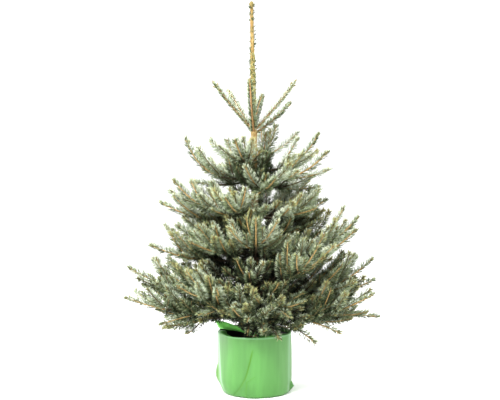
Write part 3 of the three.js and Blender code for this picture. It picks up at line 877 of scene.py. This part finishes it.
# ---------- Pieces ----------
class SPRUCE_OT_foliage(bpy.types.Operator):
    """Grows the boughs' shoots, twigs, buds and needles of every tier"""

    bl_idname = "spruce.foliage"
    bl_label = "Foliage"

    def execute(self, context):
        settings = context.scene.spruce_foliage
        finishes = needle_finishes(settings)
        young = twig_finish("young_shoot_skin", tuple(settings.young_wood))
        top = twig_finish("top_shoot_skin", tuple(settings.top_wood))
        fine = twig_finish("fine_shoot_skin", tuple(settings.fine_wood))
        old = twig_finish("old_twig_skin", tuple(settings.old_wood))
        scales = twig_finish("bud_scales", tuple(settings.bud))
        groups = []
        for t, tier in enumerate(TIERS):
            masses = [f"{tier['name']}_mass_{b + 1}" for b in range(len(tier["boughs"]))]
            groups.append((tier["name"], grow_tier(t, tier), masses))
        half = BETWEEN["count"] // 2
        groups.append(("skirt", skirt_boughs(), []))
        groups.append(("trunk_shoots", trunk_shoots(), []))
        groups.append(("inner_low", between_whorls(0, half), []))
        groups.append(("inner_high", between_whorls(half, BETWEEN["count"]), []))
        everything = []
        for name, shoots, masses in groups:
            grown = [shoot_needles(shoot, len(everything) + n, settings) for n, shoot in enumerate(shoots, 1)]
            everything += shoots
            needle_pieces(name, np.concatenate([points for points, _ in grown]),
                          np.concatenate([tone for _, tone in grown]), finishes, *masses)
        young_lines, fine_lines, old_lines, top_lines = [], [], [], []
        for shoot in everything:
            start = shoot.sprouts * 0.9 if shoot.foot_radius > 4 else 0.0
            away = np.hypot(shoot.points[:, 0], shoot.points[:, 1]) / crown_radius(shoot.points[:, 2])
            inside = 0.0 if shoot.top else np.count_nonzero(away < 0.5) / STEPS
            change = min(0.95, max(start, shoot.young_from, inside))
            foot, tip = shoot.foot_radius, shoot.tip_radius
            middle = foot + (tip - foot) * change
            if change > start + 0.05:
                old_lines.append((shoot, start, change + 0.01, foot, middle))
            lines = fine_lines if foot < 2 or shoot.open == 0 else young_lines
            if shoot.top:
                lines = top_lines
            lines.append((shoot, change, 0.99, middle, tip))
        for name, lines, material, rings in (("top_shoots", top_lines, top, 12),
                                             ("young_shoots", young_lines, young, 8),
                                             ("fine_shoots", fine_lines, fine, 5),
                                             ("old_twigs", old_lines, old, 6)):
            points, faces = tubes(lines, rings, 5)
            settle(mesh_from(name, points, faces), material, "limb")
        points, faces = tip_buds(everything)
        settle(mesh_from("buds", points, faces), scales, "limb")
        return {"FINISHED"}


class SPRUCE_OT_trunk(bpy.types.Operator):
    """Makes the trunk and leader with their bark relief, the leader's bud and its short needles"""

    bl_idname = "spruce.trunk"
    bl_label = "Trunk"

    def execute(self, context):
        wood = context.scene.spruce_wood
        relief = wood.bark_relief / MM

        def place(u, w):
            if w <= 0.0 or w >= 1.0:
                return Vector(trunk_centre(SOIL_TOP if w <= 0.0 else TRUNK_TIP) * MM)
            z = SOIL_TOP + (TRUNK_TIP - SOIL_TOP) * max(0.0, min(1.0, (w - 0.002) / 0.996))
            angle = 2 * math.pi * u
            east, north = math.cos(angle), math.sin(angle)
            radius = trunk_radius(z)
            rough = noise.fractal(Vector((east * 2.2, north * 2.2, z * 0.012)) * 2.3, 0.8, 2.1, 5)
            share = 1 - (TRUNK_TIP - z) / LEADER_BUD["length"]  # of the way up the bud
            if share > 0:
                if share > 0.05:
                    radius = LEADER_BUD["radius"] * math.sqrt(max(0.0, 1 - (2 * share - 0.75) ** 2 / 1.57))
                radius *= 1 + 0.06 * math.cos(8 * angle + 9 * share)
            elif z > RIDGED_FROM:  # ridges that run down from each needle's foot
                spiral = math.cos(5 * angle + z * 0.16) * math.cos(3 * angle - z * 0.27)
                radius += relief * (0.8 * max(0.0, spiral) + 0.5 * rough)
            else:
                spot = Vector((east * 3.4, north * 3.4, z * 0.05))
                radius += relief * (1.1 * noise.fractal(spot, 0.7, 2.2, 6) + 0.6 * rough)
            if z < COLLAR + 15:  # a swelling at each whorl
                for tier in TIERS:
                    radius += 1.8 * math.exp(-(((z - tier["height"]) / 9) ** 2))
            x, y, z = trunk_centre(z)
            return Vector((x + radius * east, y + radius * north, z)) * MM

        trunk = skin("trunk_bark", 36, 620, place)
        settle(trunk, bark_finish("spruce_bark", wood), "bark", "trunk")
        self.leader_needles(context)
        return {"FINISHED"}

    def leader_needles(self, context):
        """Short pressed needles: close on the leader's lower half, a few pegs above."""
        settings = context.scene.spruce_foliage
        rng = np.random.default_rng(SEED)
        needled = 240  # length of the part with close needles
        low = COLLAR + 12 + needled * rng.random(900) ** 1.15
        high = rng.uniform(COLLAR + 150, TRUNK_TIP - 12, 150)
        z = np.concatenate([low, high])
        count = len(z)
        few = np.arange(count) >= len(low)
        turn = rng.uniform(0, 2 * np.pi, count)
        outward = np.stack([np.cos(turn), np.sin(turn), np.zeros(count)], -1)
        lean = np.radians(np.where(few, rng.uniform(42, 70, count), rng.uniform(14, 34, count)))
        along = outward * np.sin(lean)[:, None] + np.array([0, 0, 1.0]) * np.cos(lean)[:, None]
        centre = np.array([trunk_centre(h) for h in z])
        radius = np.array([trunk_radius(h) for h in z])
        peg = 5 + 7.5 * rng.random(count) ** 2
        length = np.where(few, peg, rng.uniform(8, 13, count) * (1.1 - 0.4 * (z - COLLAR) / needled))
        width = np.where(few, 2.2 + 0.2 * peg, settings.needle_width / MM)
        root = centre + outward * (radius * 0.9)[:, None]
        bow = np.tile([0, 0, 1.0], (count, 1)) + 0.3 * outward
        points = needle_points(root, unit(along), bow, length, width)
        tone = rng.choice([0, 1, 1, 2, 2, 3], count)
        yellow = rng.random(count) < np.clip((z - COLLAR - 70) / 80, 0, 1)
        tone[yellow] = TONES.index("fresh")
        tone[few] = TONES.index("shade")
        needle_pieces("leader", points, tone, needle_finishes(settings))
        buds, faces = [], []
        for turn, rise, size in ((0, 90, 4.0), (10, 48, 3.0), (190, 52, 3.0), (95, 44, 2.8), (280, 50, 2.8)):
            foot = trunk_centre(TRUNK_TIP - (22 if rise == 90 else 19))
            bud(buds, faces, foot, heading(turn, rise), size)
        finish = twig_finish("leader_bud_scales", (0.20, 0.17, 0.07))
        settle(mesh_from("leader_buds", np.array(buds), np.array(faces)), finish, "limb")


class SPRUCE_OT_limbs(bpy.types.Operator):
    """Makes the bare limbs of the two lowest tiers, with a collar where each leaves the trunk"""

    bl_idname = "spruce.limbs"
    bl_label = "Limbs"

    def execute(self, context):
        bark = twig_finish("limb_bark_skin", tuple(context.scene.spruce_foliage.old_wood))
        for t, tier in enumerate(TIERS):
            if not tier["bare"]:
                continue
            for b in range(len(tier["boughs"])):
                line = bough_line(tier, t, b)

                def place(u, w, line=line, bare=tier["bare"], t=t, b=b):
                    share = bare * 1.02 * max(0.0, min(1.0, (w - 0.02) / 0.96))
                    centre = line.point(share)
                    if w <= 0.0 or w >= 1.0:
                        return Vector(centre * MM)
                    tangent = line.direction(np.array([share]))
                    side, up = (across[0] for across in frames_along(tangent))
                    angle = 2 * math.pi * u
                    out = share * line.length
                    radius = 5.8 - 1.5 * share / bare + 2.2 * math.exp(-out / 14)
                    spot = Vector((math.cos(angle), math.sin(angle), out * 0.09)) * 2.4
                    radius += 0.55 * noise.fractal(spot + Vector((t * 9.1, b * 7.3, 0)), 0.8, 2.1, 4)
                    spoke = side * math.cos(angle) + up * math.sin(angle)
                    return Vector((centre + spoke * radius) * MM)

                limb = skin(f"{tier['name']}_limb_{b + 1}", 16, 44, place)
                settle(limb, bark, "limb", f"{tier['name']}_bough_{b + 1}")
        return {"FINISHED"}


def film_radius(angle, height, wrap):
    """The film's own round: broad soft folds, drawn in at the foot, most on the -X side."""
    share = height / wrap.film_height
    leftward = 0.5 - 0.5 * math.cos(angle)
    tuck = (5 + 13 * leftward) * max(0.0, 1 - share / 0.3) ** 2
    folds = 1.6 * math.sin(3 * angle + 0.6) + 1.1 * math.sin(7 * angle + 4 * share)
    return wrap.film_radius - (tuck - folds * (0.4 + 0.6 * share)) * MM


def turn_between(angle, middle):
    """The signed turn from one angle to another, in radians."""
    return (angle - middle + math.pi) % (2 * math.pi) - math.pi


def bulge(angle, middle, width):
    """1 at an angle, given in degrees, and falling off to both sides over a width in radians."""
    return math.exp(-((turn_between(angle, math.radians(middle)) / width) ** 2))


def seam_angle(height):
    """Where the film's free edge lies at a height: down the front, swinging to the left."""
    fall = max(0.0, min(1.0, (FILM_SEAM["top"] - height) / FILM_SEAM["top"]))
    return math.radians(FILM_SEAM["angle"] - FILM_SEAM["swing"] * fall - FILM_SEAM["sweep"] * fall**5)


def branch_off(angle, height):
    """How far round the film a point lies from the short fold beside the free edge, in millimetres."""
    fold = -104.5 + 55 * min(0.056, height) + 705 * max(0.0, height - 0.056)
    return turn_between(angle, math.radians(fold)) * FILM_ROUND


def crease_shade_depth(angle, height):
    """Painted crease shade on the film, partly for film lying double: 1 on the line of the free edge, less on
    the short fold and the loose fold at the left, 0 off them.
    """
    edge = turn_between(angle, seam_angle(height)) * FILM_ROUND
    deep = max(0.0, min(1.0, (FILM_SEAM["top"] - height) / 0.02))
    line = math.exp(-(((edge + 1.0) / 2.8) ** 2)) * deep * (0.35 + 0.65 * min(1.0, height / 0.06))
    short = 0.0
    if height < FILM_SEAM["short_top"]:
        short = 0.6 * math.exp(-((branch_off(angle, height) / 2.0) ** 2))
    loose = bulge(angle, -170, 0.1) * max(0.0, 1 - ((height - 0.062) / 0.045) ** 2)
    return max(line, short, loose)


def painted_highlight_mark(angle, height):
    """Painted highlight on the film: a pale reflection streak down its left, a faint one on its right and a
    light line along its rim.
    """
    left = 0.4 * bulge(angle, -151 - 80 * height, 0.06) * min(1.0, height / 0.05)
    right = 0.2 * bulge(angle, -22, 0.06)
    rim = math.exp(-(((height - FILM_HEIGHT * MM) / 0.002) ** 2))
    rim *= 0.25 * (1 - bulge(angle, TURNED_IN, 0.5))
    return max(left, right, rim)


def film_detail(angle, height):
    """Creases and corners of the film, in millimetres out from its own round."""
    upright = noise.noise(Vector((math.cos(angle) * 2.4, math.sin(angle) * 2.4, height * 4)))
    fine = noise.noise(Vector((math.cos(angle) * 9, math.sin(angle) * 9, height * 9)))
    out = 1.0 * upright + 0.25 * fine
    edge = turn_between(angle, seam_angle(height)) * FILM_ROUND
    deep = max(0.0, min(1.0, (FILM_SEAM["top"] - height) / 0.05))
    if edge >= 0:
        out += 2.6 * deep * math.exp(-edge / 26)
    else:
        out -= 1.8 * deep * math.exp(edge / 7)
    under = FILM_SEAM["short_top"] - height
    if under > 0:
        ridge = math.exp(-((branch_off(angle, height) - 2.5) / 3.0) ** 2)
        out += 1.6 * ridge * min(1.0, under / 0.02)
    # a pointed ear at the right of the foot, and a loose fold at the left
    out += 12 * max(0.0, 1 - abs(turn_between(angle, math.radians(-9))) * 10 - abs(height - 0.022) * 52)
    out += 6.5 * bulge(angle, 184, 0.10) * max(0.0, 1 - ((height - 0.062) / 0.034) ** 2)
    out -= 3.0 * bulge(angle, -118, 0.16) * max(0.0, 1 - height / 0.03)
    return out


def curve_point(points, share):
    """A point on a smooth curve through the given points."""
    last = len(points) - 1
    at = share * last
    i = min(int(at), last - 1)
    before, start, end, after = (Vector(points[max(0, min(last, i + k))]) for k in (-1, 0, 1, 2))
    t = at - i
    return (start * 2 + (end - before) * t + (before * 2 - start * 5 + end * 4 - after) * t**2
            + (start * 3 - before - end * 3 + after) * t**3) * 0.5


def film_mouth(angle):
    """How far the film's mouth rises over its height and leans in, in metres."""
    places = (90, 0.9), (-6, 0.2), (-58, 0.46), (TURNED_IN, 0.34)
    back, right, front, left = (bulge(angle, middle, width) for middle, width in places)
    rise = 1.5 + 8 * back + 12 * right + 11 * front + 8 * left
    lean = 1 + 22 * back + 34 * front + 17 * left
    return rise * MM, lean * MM


class SPRUCE_OT_wrap(bpy.types.Operator):
    """Makes the green film round the pot, its gathered mouth and the flap folded in at the front"""

    bl_idname = "spruce.wrap"
    bl_label = "Film Wrap"

    def execute(self, context):
        noise.seed_set(SEED)  # without it the flap's noise_vector starts from the clock
        wrap = context.scene.spruce_wrap
        finish = film_finish("green_film", tuple(wrap.film_colour))
        height = wrap.film_height

        def reach(angle, z):
            return film_radius(angle, z, wrap) + film_detail(angle, z) * MM

        def place(u, w):
            # the columns crowd together at the free edge and follow it down
            up = (w - UNDERSIDE) / (MOUTH - UNDERSIDE)
            level = height * max(0.0, min(1.0, up))
            angle = seam_angle(level) + 2 * math.pi * u - 0.6 * math.sin(2 * math.pi * u)
            turn = Vector((math.cos(angle), math.sin(angle), 0))
            if w < UNDERSIDE:
                share = w / UNDERSIDE
                rounded = FOOT_ROUND * max(0.0, (share - 0.94) / 0.06) ** 2
                return turn * (reach(angle, 0.0) * share) + Vector((0, 0, rounded))
            if w < MOUTH:
                z = FOOT_ROUND + (height - FOOT_ROUND) * up
                return turn * reach(angle, z) + Vector((0, 0, z))
            share = (w - MOUTH) / (1 - MOUTH)
            rise, lean = film_mouth(angle)
            crumple = noise.noise(Vector((math.cos(angle) * 5, math.sin(angle) * 5, share * 2.2)))
            radius = reach(angle, height) - lean * share**2.4 - 0.003 * share * crumple
            z = height + rise * math.sin(share * math.pi / 2) + 0.0022 * share * (crumple + 0.4)
            return turn * radius + Vector((0, 0, z))

        film = skin("film_wrap_skin", 300, 96, place, wrap.film_thickness)
        spots = [(math.atan2(v.co.y, v.co.x), v.co.z) for v in film.data.vertices]
        # The first mark is the creases' painted shade and the second the film's painted highlights.
        for name, amount in (("fold", crease_shade_depth), ("stretch", painted_highlight_mark)):
            marks = film.data.attributes.new(name, "FLOAT", "POINT")
            marks.data.foreach_set("value", [amount(*spot) for spot in spots])
        settle(film, finish, "film", "film_wrap")

        def flap(u, w):
            """A loose sheet from the back of the mouth: it flares out at the left and runs to the front."""
            low, high = (curve_point([row[edge] for row in FLAP], u) for edge in (0, 1))
            crumple = noise.noise_vector(Vector((u * 7, w * 2.2, 4.2)))
            sag = Vector((0, 0, -5 * math.sin(math.pi * w))) + crumple * (2.4 * (0.3 + w))
            return (low.lerp(high, w) + sag) * MM

        # painted light: the flap's film is a much lighter copy of the film's green, as if lit where it lies
        # in shade
        lit_flap_finish = film_finish("sheer_film", shade_of(wrap.film_colour, 2.9))
        settle(skin("film_flap", 90, 20, flap, wrap.film_thickness), lit_flap_finish, "film")
        return {"FINISHED"}


class SPRUCE_OT_pot(bpy.types.Operator):
    """Gives the nursery pot its finish and makes the crumbly soil in it"""

    bl_idname = "spruce.pot"
    bl_label = "Pot and Soil"

    def execute(self, context):
        wrap = context.scene.spruce_wrap
        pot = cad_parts["nursery_pot"]
        pot.data.materials.clear()
        pot.data.materials.append(pot_finish("black_pot", tuple(wrap.pot_colour)))
        low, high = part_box("potting_soil")
        outer, bottom, top = high[0], low[2], high[2]
        wall, level = outer - 0.0015, 0.7  # the soil's radius, and the share of its grid that is level

        def place(u, w):
            angle = 2 * math.pi * u
            turn = Vector((math.cos(angle), math.sin(angle), 0))
            if w < level:
                radius = wall * (w / level)
                spot = turn * radius
                lumps = noise.fractal(spot * 75, 0.9, 2.2, 5)
                edge = max(0.0, 1 - (outer - radius) / 0.004)
                return spot + Vector((0, 0, top - 0.0022 + 0.0016 * lumps - 0.002 * edge))
            share = (w - level) / (1 - level)
            if share >= 0.98:
                return Vector((0, 0, bottom))
            sunk = top - 0.0045
            return turn * (wall * (1 - 0.15 * share)) + Vector((0, 0, sunk + (bottom - sunk) * share))

        soil = skin("soil_crumbs", 120, 90, place)
        settle(soil, soil_finish("potting_mix", tuple(wrap.soil_colour)), "soil", "potting_soil")
        return {"FINISHED"}


class SPRUCE_OT_stage(bpy.types.Operator):
    """Sets up the pale floor, the soft lights and the camera"""

    bl_idname = "spruce.stage"
    bl_label = "Stage"

    def execute(self, context):
        settings = context.scene.spruce_stage
        bm = bmesh.new()
        bmesh.ops.create_grid(bm, x_segments=4, y_segments=4, size=9)
        mesh = bpy.data.meshes.new("floor")
        bm.to_mesh(mesh)
        bm.free()
        floor = bpy.data.objects.new("floor", mesh)
        context.collection.objects.link(floor)
        paint = Finish("pale_floor", 0.9)
        paint.colour(paint.ramp(paint.pattern(2, 3), (0.3, (0.96, 0.96, 0.96)), (0.7, (0.99, 0.99, 0.99))))
        mesh.materials.append(paint.material)

        for name, spot, size, power in (
            ("key_light", (-1.4, -2.6, 2.9), 1.1, 165),
            ("fill_light", (2.3, -1.8, 1.7), 2.0, 24),
            ("back_light", (0.4, 2.6, 2.6), 2.2, 34),
            ("edge_light", (-2.7, 0.5, 0.7), 1.0, 30),
        ):
            lamp = bpy.data.lights.new(name, "AREA")
            lamp.size, lamp.energy = size, power
            light = bpy.data.objects.new(name, lamp)
            light.location = spot
            light.rotation_mode = "QUATERNION"
            light.rotation_quaternion = (Vector(spot) - Vector((0, 0, 0.6))).to_track_quat("Z", "Y")
            context.collection.objects.link(light)

        world = bpy.data.worlds.new("white_room")
        world.use_nodes = True
        world.node_tree.nodes["Background"].inputs["Color"].default_value = (1, 1, 1, 1)
        world.node_tree.nodes["Background"].inputs["Strength"].default_value = 1.0
        context.scene.world = world
        context.scene.view_settings.view_transform = "Standard"
        context.scene.view_settings.look = "Medium High Contrast"
        context.scene.view_settings.gamma = 0.9

        shift = -0.0146  # the camera stands a little to the left of the trunk
        camera = bpy.data.objects.new("camera", bpy.data.cameras.new("camera"))
        camera.data.lens, camera.data.sensor_width = settings.lens, 36
        camera.location = (shift, -settings.camera_distance, settings.camera_height)
        aim = Vector((shift, 0, settings.aim_height)) - camera.location
        camera.rotation_mode = "QUATERNION"
        camera.rotation_quaternion = aim.to_track_quat("-Z", "Y")
        context.collection.objects.link(camera)
        context.scene.camera = camera
        return {"FINISHED"}


class SPRUCE_PT_panel(bpy.types.Panel):
    """Lists the pieces of the spruce in the order they are made"""

    bl_idname = "SPRUCE_PT_panel"
    bl_label = "Wrapped Spruce"
    bl_space_type = "VIEW_3D"
    bl_region_type = "UI"
    bl_category = "Spruce"

    def draw(self, context):
        for group in GROUPS:
            box = self.layout.box()
            for name in group.bl_rna.properties.keys():
                if name not in {"rna_type", "name"}:
                    box.prop(getattr(context.scene, GROUPS[group]), name)
        for operator in OPERATORS:
            self.layout.operator(operator.bl_idname)


GROUPS = {
    SpruceFoliage: "spruce_foliage",
    SpruceWood: "spruce_wood",
    SpruceWrap: "spruce_wrap",
    SpruceStage: "spruce_stage",
}
OPERATORS = (
    SPRUCE_OT_stage,
    SPRUCE_OT_wrap,
    SPRUCE_OT_pot,
    SPRUCE_OT_trunk,
    SPRUCE_OT_limbs,
    SPRUCE_OT_foliage,
)


def register():
    for cls in (*GROUPS, *OPERATORS, SPRUCE_PT_panel):
        bpy.utils.register_class(cls)
    for group, name in GROUPS.items():
        setattr(bpy.types.Scene, name, PointerProperty(type=group))


def unregister():
    for name in GROUPS.values():
        delattr(bpy.types.Scene, name)
    for cls in reversed((*GROUPS, *OPERATORS, SPRUCE_PT_panel)):
        bpy.utils.unregister_class(cls)


def main():
    register()
    for operator in OPERATORS:
        group, name = operator.bl_idname.split(".")
        getattr(getattr(bpy.ops, group), name)()


if __name__ == "__main__":
    main()
